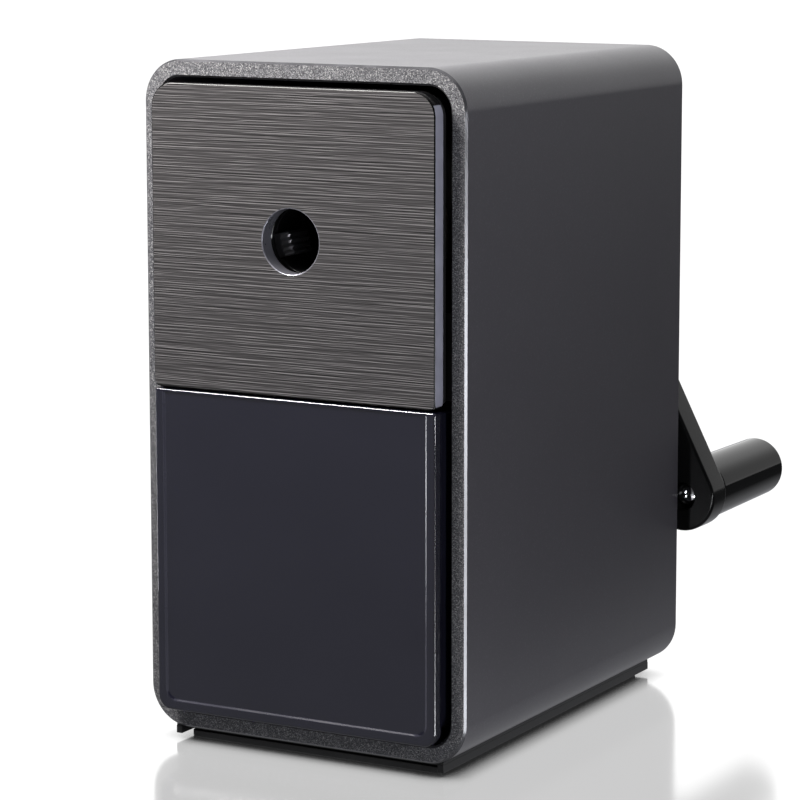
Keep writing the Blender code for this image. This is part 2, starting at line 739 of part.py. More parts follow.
def make_crank_screw(finish):
    points = flipped(screw_points(CRANK_HEAD_R, 1.5 * MM, 1.3 * MM, 6.0 * MM))
    return turned_part("crank_screw", points, finish, start=SHAFT_END + GAP, steps=24)


def make_knob_axle(finish):
    points = screw_points(2.05 * MM, 0.9 * MM, AXLE_R, 24.8 * MM)
    return turned_part("knob_axle", points, finish, start=PIN_SEAT, x=KNOB_X, z=KNOB_Z, steps=24)


def make_knob(finish):
    start, round_r, bore, bore_end = ARM_REAR + 0.9 * MM, 1.0 * MM, AXLE_R + GAP, 22 * MM
    length = KNOB_END - start
    end = arc(KNOB_END_R - round_r, length - round_r, round_r, 0, 90, 4)
    points = [(0, bore_end), (bore, bore_end), (bore, 0), (KNOB_R - 0.3 * MM, 0), (KNOB_R, 0.3 * MM)]
    points += end + [(0, length)]
    return turned_part("knob", points, finish, start=start, x=KNOB_X, z=KNOB_Z, steps=32)


# Fasteners


def make_rear_screws(finish):
    points = flipped(screw_points(REAR_HEAD_R, 1.3 * MM, SHANK_R, 9.0 * MM))
    seat = REAR_COVER[1] - 1.2 * MM
    return [
        turned_part(f"rear_cover_screw_{i}", points, finish, start=seat, x=x, z=z, steps=16)
        for i, (x, z) in enumerate(REAR_SCREWS, 1)
    ]


def make_base_screws(finish):
    screws, seat = [], 1.1 * MM
    for i, (x, d, top) in enumerate(BASE_SCREWS, 1):
        points = screw_points(BASE_HEAD_R, 0.8 * MM, SHANK_R, top - seat)
        screw = solid(f"base_screw_{i}", turned(points, 16), finish)
        screw.location = (x, depth(d), seat)
        screws.append(screw)
    return screws


def make_ring_gear_screws(finish):
    points = flipped(screw_points(1.9 * MM, 0.9 * MM, 1.1 * MM, 6.5 * MM))
    gear_rear = APEX_DEPTH - FACE_NEAR * math.cos(RING_CONE)
    return [
        turned_part(f"ring_gear_screw_{i}", points, finish, start=gear_rear + GAP, x=x, steps=16)
        for i, x in enumerate((-RING_SCREW_X, RING_SCREW_X), 1)
    ]


def clear_scene():
    for old in list(bpy.data.objects):
        bpy.data.objects.remove(old, do_unlink=True)


def main():
    clear_scene()
    gunmetal = material("gunmetal_paint", (0.075, 0.075, 0.08), 0.45, 0.6)
    brushed = material("brushed_plate", (0.12, 0.12, 0.125), 0.35, 0.8)
    smoke = material("smoke_plastic", (0.02, 0.02, 0.026), 0.08, alpha=0.85)
    black = material("black_plastic", (0.012, 0.012, 0.013), 0.4)
    gloss = material("gloss_black", (0.015, 0.015, 0.018), 0.12)
    rubber = material("black_rubber", (0.02, 0.02, 0.02), 0.8)
    steel = material("steel", (0.55, 0.55, 0.56), 0.3, 1.0)
    chrome = material("chrome", (0.8, 0.8, 0.82), 0.08, 1.0)
    brass = material("brass", (0.7, 0.5, 0.2), 0.3, 1.0)
    nylon = material("white_nylon", (0.75, 0.74, 0.7), 0.5)

    make_outer_sleeve(gunmetal)
    make_front_plate(brushed)
    make_front_frame(black)
    make_entry_ring(black)
    make_chassis(black)
    make_rear_cover(black)
    make_base_tray(black)
    make_foot_pad(rubber)
    make_jaw_housing(black)
    make_guide_tube(black)
    make_ring_gear(nylon)
    make_ring_gear_screws(steel)
    make_shaft_bushing(brass)
    make_rear_screws(steel)
    make_base_screws(steel)
    make_shavings_drawer(smoke)
    for side, angle in JAW_ANGLES.items():
        make_jaw(side, angle, black)
        make_jaw_spring(side, angle, steel)

    crank_axis = axis_empty("crank_axis", 0, depth(DEPTH), AXIS_Z)
    knob_axis = axis_empty("knob_axis", KNOB_X, depth(ARM_REAR), KNOB_Z, crank_axis)
    cutter_axis = axis_empty("cutter_axis", 0, depth(APEX_DEPTH), AXIS_Z, crank_axis)
    crank = [
        make_cutter_carrier(nylon), make_cutter_axle(steel), make_drive_shaft(steel), make_shaft_clip(steel),
        make_crank_arm(black), make_crank_screw(steel), make_knob_axle(chrome),
    ]
    attach(crank_axis, crank)
    attach(knob_axis, [make_knob(gloss)])
    attach(cutter_axis, [make_helical_cutter(steel), make_cutter_pinion(steel)])


main()
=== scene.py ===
"""Looks of a crank pencil sharpener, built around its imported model.

Lengths are in metres in the model's own frame: the front faces -Y, the crank is at +Y and +Z
is up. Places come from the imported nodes' boxes. Each piece that is shaped more finely than its
node replaces it; the others keep their node's shape, most of them with softened edges.
"""

import json
import math

import bmesh
import bpy
from mathutils import Matrix, Vector


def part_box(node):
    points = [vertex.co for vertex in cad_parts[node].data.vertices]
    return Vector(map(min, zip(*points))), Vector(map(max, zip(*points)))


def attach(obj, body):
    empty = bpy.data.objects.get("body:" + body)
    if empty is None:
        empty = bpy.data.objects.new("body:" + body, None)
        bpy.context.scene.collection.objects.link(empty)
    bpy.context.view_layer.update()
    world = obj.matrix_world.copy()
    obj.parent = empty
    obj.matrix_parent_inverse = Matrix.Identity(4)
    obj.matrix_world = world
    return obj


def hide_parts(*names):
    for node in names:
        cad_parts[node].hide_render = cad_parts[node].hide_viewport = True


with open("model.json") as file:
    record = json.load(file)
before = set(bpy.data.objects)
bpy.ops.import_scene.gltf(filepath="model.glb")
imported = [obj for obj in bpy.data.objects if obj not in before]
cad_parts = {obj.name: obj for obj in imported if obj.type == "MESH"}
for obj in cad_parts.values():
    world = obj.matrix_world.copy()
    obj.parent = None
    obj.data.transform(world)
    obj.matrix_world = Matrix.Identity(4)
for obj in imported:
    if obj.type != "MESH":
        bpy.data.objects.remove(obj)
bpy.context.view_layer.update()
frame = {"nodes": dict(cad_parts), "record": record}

MM = 0.001

# Sleeve and front unit
CORNER = 7.0 * MM
WALL = 2.9 * MM
SLEEVE_CHAMFER = 0.35 * MM
PLATE_CORNER = 4.0 * MM
PLATE_LOW_CORNER = 0.9 * MM
PLATE_EDGE = 0.35 * MM
PENCIL_HOLE_R = 5.3 * MM
DRAWER_CORNER = 4.7 * MM
DRAWER_WALL = 1.8 * MM
DRAWER_FACE = 2.3 * MM
DRAWER_FACE_CORNER = 2.4 * MM
DRAWER_STEP = 0.4 * MM
DRAWER_EDGE = 0.45 * MM
DRAWER_TOP_CORNER = 0.5 * MM
PANEL_CORNER = 2.2 * MM
PANEL_STEP = [(1.55 * MM, 0.0), (1.65 * MM, 0.03 * MM), (1.85 * MM, 0.17 * MM), (1.95 * MM, 0.2 * MM)]
RUNNER_X = 16 * MM
COVER_CORNER = 3.8 * MM
COVER_HOLE_R = 6.1 * MM
COVER_SEAT_R = 3.0 * MM
SCREW_HOLE_R = 1.5 * MM

# Crank
HUB_R = 8.5 * MM
ARM_END_R = 6.4 * MM
ARM_BOSS_R = 6.5 * MM
KNOB_BOSS_R = 5.45 * MM
KNOB_END_R = 5.5 * MM
ARM_THICK = 6.0 * MM
ARM_TO_KNOB = 0.9 * MM
SHAFT_BORE_R = 3.3 * MM
AXLE_BORE_R = 1.8 * MM
AXLE_BORE_DEPTH = 22 * MM

BODY_OF = {
    node: body
    for body, members in frame["record"]["behaviour"]["bodies"].items()
    for node in members
}
SLOT_OF = {part["node"]: part["material_slot"] for part in frame["record"]["subparts"]}


def centre_of(node):
    low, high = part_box(node)
    return (low + high) / 2


AXIS_Z = centre_of("drive_shaft").z
KNOB_AXIS = centre_of("knob")


# Outlines


def arc(cx, cy, radius, start, end, steps):
    """Points along an arc, angles in degrees."""
    angles = [math.radians(start + (end - start) * i / steps) for i in range(steps + 1)]
    return [(cx + radius * math.cos(a), cy + radius * math.sin(a)) for a in angles]


def circle(radius, count, cx=0.0, cy=0.0):
    return arc(cx, cy, radius, 0, 360, count)[:-1]


def rounded_rect(half, low, high, low_radius, high_radius, steps, cx=0.0):
    """Outline with its own radius at the lower and upper corners."""
    points = arc(cx + half - low_radius, low + low_radius, low_radius, -90, 0, steps)
    points += arc(cx + half - high_radius, high - high_radius, high_radius, 0, 90, steps)
    points += arc(cx - half + high_radius, high - high_radius, high_radius, 90, 180, steps)
    points += arc(cx - half + low_radius, low + low_radius, low_radius, 180, 270, steps)
    return points


def filleted(points, radius, steps, closed=False):
    """The same line of points with its corners rounded off."""
    result, count = [], len(points)
    for i, corner in enumerate(points):
        if not closed and i in (0, count - 1):
            result.append(tuple(corner))
            continue
        here = Vector(corner)
        back = Vector(points[i - 1]) - here
        ahead = Vector(points[(i + 1) % count]) - here
        reach = min(radius, 0.45 * back.length, 0.45 * ahead.length)
        start, end = here + back.normalized() * reach, here + ahead.normalized() * reach
        for step in range(steps + 1):
            t = step / steps
            point = start * (1 - t) ** 2 + here * 2 * t * (1 - t) + end * t ** 2
            result.append((point.x, point.y))
    return result


# Meshes


def bridged(rings, joined=False):
    """Surface through rings of points; a ring of one point is a pole.

    Joined, the last ring meets the first; otherwise the end rings are closed.
    """
    bm = bmesh.new()
    made = [[bm.verts.new(point) for point in ring] for ring in rings]
    pairs = list(zip(made, made[1:])) + ([(made[-1], made[0])] if joined else [])
    for first, second in pairs:
        for i in range(max(len(first), len(second))):
            j = i + 1
            corners = [
                first[i % len(first)], first[j % len(first)],
                second[j % len(second)], second[i % len(second)],
            ]
            bm.faces.new(list(dict.fromkeys(corners)))
    if not joined:
        for ring in (made[0], made[-1]):
            if len(ring) > 2:
                bm.faces.new(ring)
    return bm


def prism(outline, low, high, upright=False):
    """Extrude an XZ outline along Y, or an XY outline along Z when upright."""
    def ring(height):
        return [(a, b, height) if upright else (a, height, b) for a, b in outline]
    return bridged([ring(low), ring(high)])


def lathe(points, place, steps=96):
    """Solid of revolution about the place's own Z, from (radius, height) points."""
    closed = points[0][0] > 0
    rings = []
    for radius, height in points:
        ring = [(0, 0)] if radius == 0 else circle(radius, steps)
        rings.append([place @ Vector((x, y, height)) for x, y in ring])
    return bridged(rings, joined=closed)


def pointing(direction, x, y, z):
    """Place whose Z points along a direction, with its origin at x, y, z."""
    turn = Vector(direction).to_track_quat("Z", "Y").to_matrix().to_4x4()
    return Matrix.Translation((x, y, z)) @ turn


BACKWARD = (0, 1, 0)
FORWARD = (0, -1, 0)
DOWN = (0, 0, -1)


def merged(*parts):
    whole = bmesh.new()
    for part in parts:
        mesh = bpy.data.meshes.new("part")
        part.to_mesh(mesh)
        part.free()
        whole.from_mesh(mesh)
        bpy.data.meshes.remove(mesh)
    return whole


def piece(name, bm):
    bmesh.ops.recalc_face_normals(bm, faces=bm.faces)
    mesh = bpy.data.meshes.new(name)
    bm.to_mesh(mesh)
    bm.free()
    made = bpy.data.objects.new(name, mesh)
    bpy.context.scene.collection.objects.link(made)
    return made


def settle(target):
    """Turn the piece's modifiers into plain mesh."""
    depsgraph = bpy.context.evaluated_depsgraph_get()
    mesh = bpy.data.meshes.new_from_object(target.evaluated_get(depsgraph), depsgraph=depsgraph)
    target.modifiers.clear()
    target.data = mesh


def combine(target, bm, operation="DIFFERENCE"):
    tool = piece("tool", bm)
    change = target.modifiers.new("combine", "BOOLEAN")
    change.operation = operation
    change.object = tool
    change.solver = "EXACT"
    settle(target)
    bpy.data.objects.remove(tool, do_unlink=True)


def soften(target, width, segments, angle=40.0):
    """Round the sharp edges and keep the flats flat."""
    change = target.modifiers.new("soften", "BEVEL")
    change.width = width
    change.segments = segments
    change.limit_method = "ANGLE"
    change.angle_limit = math.radians(angle)
    change.use_clamp_overlap = True
    settle(target)


def dress(target, node, *materials, angle=38.0):
    """Shade the piece, and let it stand for its node on the node's own body."""
    mesh = target.data
    mesh.materials.clear()
    for material in materials:
        mesh.materials.append(material)
    for polygon in mesh.polygons:
        polygon.use_smooth = True
        polygon.material_index = 0
    mesh.set_sharp_from_angle(angle=math.radians(angle))
    weighted = target.modifiers.new("normals", "WEIGHTED_NORMAL")
    weighted.keep_sharp = True
    settle(target)
    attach(target, BODY_OF[node])
    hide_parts(node)
    return target


def refined(node, material, width, segments=2):
    """A copy of a node's shape with its facets joined and its edges softened."""
    mesh = frame["nodes"][node].data.copy()
    bm = bmesh.new()
    bm.from_mesh(mesh)
    bpy.data.meshes.remove(mesh)
    bmesh.ops.remove_doubles(bm, verts=bm.verts, dist=0.0005 * MM)
    bmesh.ops.dissolve_limit(bm, angle_limit=math.radians(0.5), verts=bm.verts, edges=bm.edges)
    target = piece(f"{node}_fine", bm)
    soften(target, width, segments)
    return dress(target, node, material)


# Finishes


class Finish:
    """A node material built from short calls; textures lie in the model's own metres."""

    def __init__(self, name):
        self.material = bpy.data.materials.new(name)
        self.material.use_nodes = True
        self.tree = self.material.node_tree
        self.shader = self.tree.nodes["Principled BSDF"]
        self.place = self.add("ShaderNodeTexCoord").outputs["Object"]

    def feed(self, socket, value):
        if isinstance(value, bpy.types.NodeSocket):
            self.tree.links.new(value, socket)
        else:
            socket.default_value = value

    def add(self, kind, inputs=None, **settings):
        node = self.tree.nodes.new(kind)
        for key, value in settings.items():
            setattr(node, key, value)
        for key, value in (inputs or {}).items():
            self.feed(node.inputs[key], value)
        return node

    def noise(self, x, y, z, detail=2.0, roughness=0.5, lift=0.0):
        """Noise with so many features per metre along each axis, lifted by part of a feature."""
        settings = {"Vector": self.place, "Scale": (x, y, z), "Location": (0.0, 0.0, lift)}
        mapped = self.add("ShaderNodeMapping", settings)
        inputs = {"Vector": mapped.outputs[0], "Scale": 1.0, "Detail": detail, "Roughness": roughness}
        return self.add("ShaderNodeTexNoise", inputs).outputs[0]

    def grain(self, per_metre, detail=2.0, roughness=0.5):
        return self.noise(per_metre, per_metre, per_metre, detail, roughness)

    def flakes(self, per_metre):
        """Small cells, each with its own random value."""
        inputs = {"Vector": self.place, "Scale": per_metre}
        cells = self.add("ShaderNodeTexVoronoi", inputs)
        return self.add("ShaderNodeSeparateColor", {"Color": cells.outputs["Color"]}).outputs["Red"]

    def spread(self, value, start, end, low, high):
        """Map a value from start..end to low..high, clamped."""
        inputs = {"Value": value, "From Min": start, "From Max": end, "To Min": low, "To Max": high}
        return self.add("ShaderNodeMapRange", inputs).outputs[0]

    def math(self, operation, first, second):
        node = self.add("ShaderNodeMath", operation=operation)
        self.feed(node.inputs[0], first)
        self.feed(node.inputs[1], second)
        return node.outputs[0]

    def shades(self, value, *stops):
        """Colours along a value, as (position, (r, g, b))."""
        node = self.add("ShaderNodeValToRGB", {"Fac": value})
        marks = node.color_ramp.elements
        while len(marks) < len(stops):
            marks.new(0.5)
        for mark, (position, colour) in zip(marks, stops):
            mark.position = position
            mark.color = (*colour, 1.0)
        return node.outputs[0]

    def bump(self, height, distance, under=None):
        inputs = {"Height": height, "Distance": distance, "Strength": 1.0}
        if under is not None:
            inputs["Normal"] = under
        return self.add("ShaderNodeBump", inputs).outputs[0]

    def set(self, **inputs):
        for key, value in inputs.items():
            self.feed(self.shader.inputs[key.replace("_", " ")], value)
        return self.material


def grey(value, blue=1.0):
    return (value, value, value * blue)


def gunmetal_paint():
    """Fine matte paint on the long sides: faint flakes, a soft clear coat and a slight orange peel."""
    make = Finish("gunmetal_paint_fine")
    flake = make.flakes(5200)
    cloud = make.grain(60)
    colour = make.shades(
        flake,
        (0.0, (0.031, 0.029, 0.036)), (0.8, (0.037, 0.0345, 0.043)), (1.0, (0.056, 0.053, 0.064)),
    )
    rough = make.math(
        "ADD", make.spread(flake, 0.0, 1.0, 0.40, 0.46), make.spread(cloud, 0.3, 0.7, -0.02, 0.02)
    )
    return make.set(
        Base_Color=colour, Metallic=0.2, Roughness=rough, Coat_Weight=0.4, Coat_Roughness=0.26,
        Normal=make.bump(make.grain(420), 0.006 * MM),
    )


def sparkle_paint():
    """The same paint on the rim, where it is blasted to a fine sparkling grain."""
    make = Finish("gunmetal_rim_fine")
    flake = make.flakes(6500)
    grit = make.grain(5600, 1.0)
    mixed = make.math("ADD", make.math("MULTIPLY", flake, 0.35), make.math("MULTIPLY", grit, 0.65))
    colour = make.shades(
        mixed,
        (0.32, grey(0.024, 1.14)), (0.5, grey(0.058, 1.10)),
        (0.62, grey(0.110, 1.06)), (0.72, grey(0.23)),
    )
    return make.set(
        Base_Color=colour, Metallic=0.35, Roughness=make.spread(flake, 0.0, 1.0, 0.42, 0.55),
        Specular_IOR_Level=0.3, Normal=make.bump(grit, 0.02 * MM),
    )


def edge_paint():
    """Smooth paint on the sleeve's front edge, a little shinier with handling."""
    make = Finish("gunmetal_edge_fine")
    cloud = make.grain(240, 3.0)
    return make.set(
        Base_Color=make.shades(cloud, (0.3, grey(0.03, 1.1)), (0.7, grey(0.06, 1.1))), Metallic=0.4,
        Roughness=make.spread(cloud, 0.3, 0.7, 0.18, 0.24),
        Normal=make.bump(make.grain(1800), 0.002 * MM),
    )


def cut_metal(name, shade, metallic, roughness):
    """Smooth cut metal around one shade: for the plate's hole, and for its sides, where the light grey
    is a painted highlight.
    """
    make = Finish(name)
    cloud = make.grain(300, 3.0)
    low, high = (tuple(part * scale for part in shade) for scale in (0.88, 1.12))
    return make.set(
        Base_Color=make.shades(cloud, (0.3, low), (0.7, high)), Metallic=metallic,
        Roughness=make.spread(cloud, 0.3, 0.7, roughness * 0.85, roughness * 1.15),
        Normal=make.bump(make.noise(300, 300, 3000), 0.003 * MM),
    )


def brushed_metal():
    """Dark hairline finish, brushed from side to side, with random tone; each scratch's light and dark
    flank is a painted highlight and painted shade.
    """
    make = Finish("brushed_plate_fine")
    flank_light_and_shade = []
    # Painted highlight on one flank of each scratch and painted shade on the other: a noise less the
    # same noise half a feature higher
    for across, fine, weight in ((50, 3900, 0.56), (150, 6600, 0.44)):
        first, second = (make.noise(across, across, fine, 1.0, 0.5, lift) for lift in (0.0, 0.5))
        flank_light_and_shade.append(make.math("MULTIPLY", make.math("SUBTRACT", first, second), weight))
    lines = make.spread(make.math("ADD", *flank_light_and_shade), -0.16, 0.16, 0.0, 1.0)
    colour = make.shades(
        lines,
        (0.0, (0.006, 0.006, 0.006)), (0.35, (0.044, 0.042, 0.043)),
        (0.65, (0.084, 0.080, 0.082)), (1.0, (0.236, 0.226, 0.230)),
    )
    tangent = make.add("ShaderNodeTangent", direction_type="RADIAL", axis="Z").outputs[0]
    return make.set(
        Base_Color=colour, Metallic=0.7, Roughness=make.spread(lines, 0.0, 1.0, 0.48, 0.36),
        Anisotropic=0.5, Tangent=tangent, Normal=make.bump(lines, 0.01 * MM),
    )


def moulded_black(name, shade, roughness, texture, depth, shine):
    """Black moulded plastic with a fine skin."""
    make = Finish(name)
    skin = make.grain(texture)
    cloud = make.grain(90, 3.0)
    colour = make.shades(cloud, (0.3, grey(shade * 0.8, 1.05)), (0.7, grey(shade * 1.2, 1.05)))
    rough = make.spread(cloud, 0.3, 0.7, roughness * 0.85, roughness * 1.15)
    return make.set(
        Base_Color=colour, Roughness=rough, Specular_IOR_Level=shine, Normal=make.bump(skin, depth)
    )


def smoked_plastic(name, low, high, roughness, transmission):
    """Clear dark plastic: tinted through its thickness, with a few faint flow lines."""
    make = Finish(name)
    flow = make.noise(35, 20, 60)
    return make.set(
        Base_Color=make.shades(flow, (0.3, low), (0.7, high)),
        Transmission_Weight=transmission, IOR=1.49,
        Roughness=make.spread(make.grain(90), 0.3, 0.7, roughness * 0.8, roughness * 1.2),
        Normal=make.bump(flow, 0.002 * MM),
    )


def turned_metal(name, low, high, roughness):
    """Bare metal with fine machining marks and uneven polish."""
    make = Finish(name)
    cloud = make.grain(220, 3.0)
    return make.set(
        Base_Color=make.shades(cloud, (0.3, low), (0.7, high)), Metallic=1.0,
        Roughness=make.spread(cloud, 0.3, 0.7, roughness * 0.8, roughness * 1.25),
        Normal=make.bump(make.grain(900, 3.0, 0.6), 0.004 * MM),
    )


def nylon():
    make = Finish("white_nylon_fine")
    cloud = make.grain(160, 3.0)
    return make.set(
        Base_Color=make.shades(cloud, (0.3, (0.70, 0.69, 0.64)), (0.7, (0.78, 0.77, 0.72))),
        Roughness=make.spread(cloud, 0.3, 0.7, 0.42, 0.55),
        Subsurface_Weight=0.15, Subsurface_Scale=1.0 * MM, Subsurface_Radius=(1.0, 0.9, 0.8),
        Normal=make.bump(make.grain(2500), 0.01 * MM),
    )


def grip_rubber():
    """Rubber pad with a fine cross-ribbed tread."""
    make = Finish("black_rubber_fine")
    ribs = [
        make.add(
            "ShaderNodeTexWave", {"Vector": make.place, "Scale": 160.0, "Distortion": 0.0},
            bands_direction=direction,
        ).outputs["Fac"]
        for direction in ("X", "Y")
    ]
    tread = make.math("MULTIPLY", *ribs)
    cloud = make.grain(120, 3.0)
    return make.set(
        Base_Color=make.shades(cloud, (0.3, grey(0.012)), (0.7, grey(0.022))), Roughness=0.82,
        Normal=make.bump(tread, 0.12 * MM, make.bump(make.grain(1500), 0.02 * MM)),
    )


PAINT = gunmetal_paint()
RIM = sparkle_paint()
LIP = edge_paint()
# The plate's upright sides: light satin grey, a painted highlight for the bright strip the light from
# the right makes there
PAINTED_HIGHLIGHT_SIDE = cut_metal("plate_side_painted_highlight", (0.21, 0.21, 0.26), 0.15, 0.35)
BORE = cut_metal("plate_bore_fine", (0.13, 0.13, 0.15), 0.60, 0.30)
BRUSHED = brushed_metal()
BLACK = moulded_black("black_plastic_fine", 0.008, 0.34, 2600, 0.010 * MM, 0.22)
GLOSS = moulded_black("gloss_black_fine", 0.003, 0.07, 500, 0.0010 * MM, 0.15)
GLOSS_ARM = moulded_black("arm_black_fine", 0.003, 0.16, 1800, 0.003 * MM, 0.18)
JAW_BLACK = moulded_black("jaw_black_fine", 0.07, 0.14, 1200, 0.003 * MM, 1.0)
SMOKE = smoked_plastic("smoke_plastic_fine", (0.022, 0.022, 0.041), (0.027, 0.027, 0.048), 0.05, 0.8)
FROST = smoked_plastic("smoke_bevel_fine", (0.018, 0.018, 0.028), (0.024, 0.024, 0.036), 0.26, 0.3)
STEEL = turned_metal("steel_fine", grey(0.50), grey(0.62, 1.02), 0.28)
CHROME = turned_metal("chrome_fine", grey(0.74, 1.02), grey(0.84, 1.02), 0.09)
BRASS = turned_metal("brass_fine", (0.60, 0.42, 0.16), (0.74, 0.54, 0.24), 0.28)
NYLON = nylon()
RUBBER = grip_rubber()

FINISHES = {
    "gunmetal_paint": PAINT,
    "brushed_plate": BRUSHED,
    "smoke_plastic": SMOKE,
    "black_plastic": BLACK,
    "gloss_black": GLOSS,
    "black_rubber": RUBBER,
    "steel": STEEL,
    "chrome": CHROME,
    "brass": BRASS,
    "white_nylon": NYLON,
}


# Case


def make_sleeve():
    low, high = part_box("outer_sleeve")
    section = filleted(
        [(0, low.y), (WALL, low.y), (WALL, high.y), (0, high.y)], SLEEVE_CHAMFER, 1, closed=True
    )
    rings = []
    for inset, y in section:
        radius = CORNER - inset
        outline = rounded_rect(high.x - inset, low.z + inset, high.z - inset, radius, radius, 28)
        rings.append([(x, y, z) for x, z in outline])
    sleeve = piece("sleeve_shell", bridged(rings, joined=True))
    screws = []
    for i in range(1, 5):
        place = centre_of(f"base_screw_{i}")
        hole = circle(SCREW_HOLE_R, 32, place.x, place.y)
        screws.append(prism(hole, 0.0, low.z + WALL + MM, upright=True))
    combine(sleeve, merged(*screws))
    dress(sleeve, "outer_sleeve", PAINT, RIM, LIP)
    for polygon in sleeve.data.polygons:
        facing = -polygon.normal.y
        polygon.material_index = 1 if facing > 0.97 else 2 if facing > 0.2 else 0
    return sleeve


def edged_slab(low, high, low_radius, high_radius, edge, panel=()):
    """A plate across Y with rounded corners and a rounded front edge.

    The panel is a hollow in the front face, as (inset, depth) points from its brink inwards; it
    runs up to the plate's top edge.
    """
    half, centre = (high.x - low.x) / 2, (high.x + low.x) / 2
    side = filleted([(3 * MM, low.y), (0, low.y), (0, high.y), (3 * MM, high.y)], edge, 6)
    steps = [(inset, min(inset, 0.5 * MM), low.y + down) for inset, down in reversed(panel)]
    steps += [(inset, inset, y) for inset, y in side if inset <= 2 * edge]
    rings = []
    for inset, top_inset, y in steps:
        low_r = max(low_radius - inset, min(low_radius, PANEL_CORNER))
        high_r = max(high_radius - inset, 0.05 * MM)
        outline = rounded_rect(
            half - inset, low.z + inset, high.z - top_inset, low_r, high_r, 16, centre
        )
        rings.append([(x, y, z) for x, z in outline])
    return bridged(rings)


def make_front_plate():
    low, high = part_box("front_plate")
    plate = piece(
        "brushed_front_plate", edged_slab(low, high, PLATE_LOW_CORNER, PLATE_CORNER, PLATE_EDGE)
    )
    combine(plate, prism(circle(PENCIL_HOLE_R, 96, 0, AXIS_Z), low.y - MM, high.y + MM))
    soften(plate, 0.2 * MM, 3, 60.0)
    dress(plate, "front_plate", BRUSHED, PAINTED_HIGHLIGHT_SIDE, GLOSS, BORE)
    for polygon in plate.data.polygons:
        middle, normal = polygon.center, polygon.normal
        if normal.y <= -0.97:
            continue
        # Upright sides take the painted highlight grey; top and bottom sides and the rounded edge take
        # gloss black, their painted shade
        if math.hypot(middle.x, middle.z - AXIS_Z) < PENCIL_HOLE_R + 0.3 * MM:
            polygon.material_index = 3
        else:
            polygon.material_index = 1 if abs(normal.x) > 0.9 else 2
    return plate


def make_entry_ring():
    low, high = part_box("entry_ring")
    rim, lip, bore, chamfer = (high.x - low.x) / 2, 5.9 * MM, 5.5 * MM, 0.4 * MM
    thick = high.y - low.y
    outline = [(lip, 0), (rim, 0), (rim, thick), (bore, thick), (bore, chamfer)]
    ring = piece("pencil_entry_ring", lathe(
        filleted(outline, 0.12 * MM, 3, closed=True), pointing(BACKWARD, 0, low.y, AXIS_Z)
    ))
    return dress(ring, "entry_ring", GLOSS)


def make_drawer():
    low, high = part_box("shavings_drawer")
    bottom = low.z + 0.5 * MM
    face_rear = low.y + DRAWER_FACE
    drawer = piece("smoked_drawer", edged_slab(
        Vector((low.x, low.y, bottom)), Vector((high.x, face_rear, high.z)),
        DRAWER_FACE_CORNER, DRAWER_TOP_CORNER, DRAWER_EDGE, PANEL_STEP,
    ))
    half, floor, rim = high.x - DRAWER_STEP, bottom + DRAWER_STEP, high.z - DRAWER_STEP
    tray = rounded_rect(half, floor, rim, DRAWER_CORNER, DRAWER_TOP_CORNER, 16)
    combine(drawer, prism(tray, face_rear - 0.6 * MM, high.y), "UNION")
    runners = [
        prism(rounded_rect(MM, low.z, floor + 0.2 * MM, 0.3 * MM, 0.1 * MM, 4, x),
              low.y + 5.5 * MM, high.y - MM)
        for x in (-RUNNER_X, RUNNER_X)
    ]
    combine(drawer, merged(*runners), "UNION")
    inside = rounded_rect(
        half - DRAWER_WALL, floor + DRAWER_WALL, high.z + 9 * MM, 2.9 * MM, 1.2 * MM, 16
    )
    combine(drawer, prism(inside, low.y + 2 * MM, high.y - DRAWER_WALL))
    dress(drawer, "shavings_drawer", SMOKE, FROST)
    for polygon in drawer.data.polygons:
        middle = polygon.center
        inset = min(high.x - abs(middle.x), middle.z - bottom)
        if middle.y < low.y + 0.19 * MM and 1.6 * MM < inset < 1.93 * MM:
            polygon.material_index = 1
    return drawer


def make_rear_cover():
    low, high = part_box("rear_cover")
    half, centre_x = (high.x - low.x) / 2, (high.x + low.x) / 2
    rings = []
    for inset, y in filleted([(3 * MM, low.y), (0, low.y), (0, high.y), (3 * MM, high.y)], 0.4 * MM, 5):
        if inset < MM:
            corner = COVER_CORNER - inset
            outline = rounded_rect(
                half - inset, low.z + inset, high.z - inset, corner, corner, 16, centre_x
            )
            rings.append([(x, y, z) for x, z in outline])
    cover = piece("rear_panel", bridged(rings))
    holes = [prism(circle(COVER_HOLE_R, 72, 0, AXIS_Z), low.y - MM, high.y + MM)]
    shanks = []
    for i in range(1, 5):
        spot = centre_of(f"rear_cover_screw_{i}")
        seat = circle(COVER_SEAT_R, 48, spot.x, spot.z)
        holes.append(prism(seat, high.y - 1.5 * MM, high.y + MM))
        shanks.append(prism(circle(SCREW_HOLE_R, 32, spot.x, spot.z), low.y - MM, high.y - MM))
    combine(cover, merged(*holes))
    combine(cover, merged(*shanks))
    soften(cover, 0.2 * MM, 3, 60.0)
    return dress(cover, "rear_cover", BLACK)


def make_base():
    """The base tray, with a lip up each side that follows the sleeve's rounded edge."""
    tray = refined("base_tray", BLACK, 0.3 * MM)
    low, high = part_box("base_tray")
    for side in (-1, 1):
        outer, inner = side * (high.x - 0.05 * MM), side * (high.x - MM)
        seat = high.z - 0.3 * MM
        brow = [(outer, high.z + 0.45 * MM), (inner, high.z + 0.2 * MM)]
        lip = [(inner, seat), (outer, seat), *brow]
        combine(tray, prism(lip, low.y + 0.1 * MM, high.y - 0.1 * MM), "UNION")
    return tray


# Screws


def cross_recess(place, width, depth_in, top):
    """Cutter for a cross-shaped drive, narrowing downwards from the head's top."""
    def cross(arm, blade):
        corners = [
            (arm, -blade), (arm, blade), (blade, blade), (blade, arm), (-blade, arm), (-blade, blade),
        ]
        return corners + [(-x, -y) for x, y in corners]
    rings = []
    for arm, blade, height in ((1.12, 0.28, top + 0.3 * MM), (0.55, 0.22, top - depth_in)):
        outline = cross(width * arm, width * blade)
        rings.append([place @ Vector((x, y, height)) for x, y in outline])
    return bridged(rings)


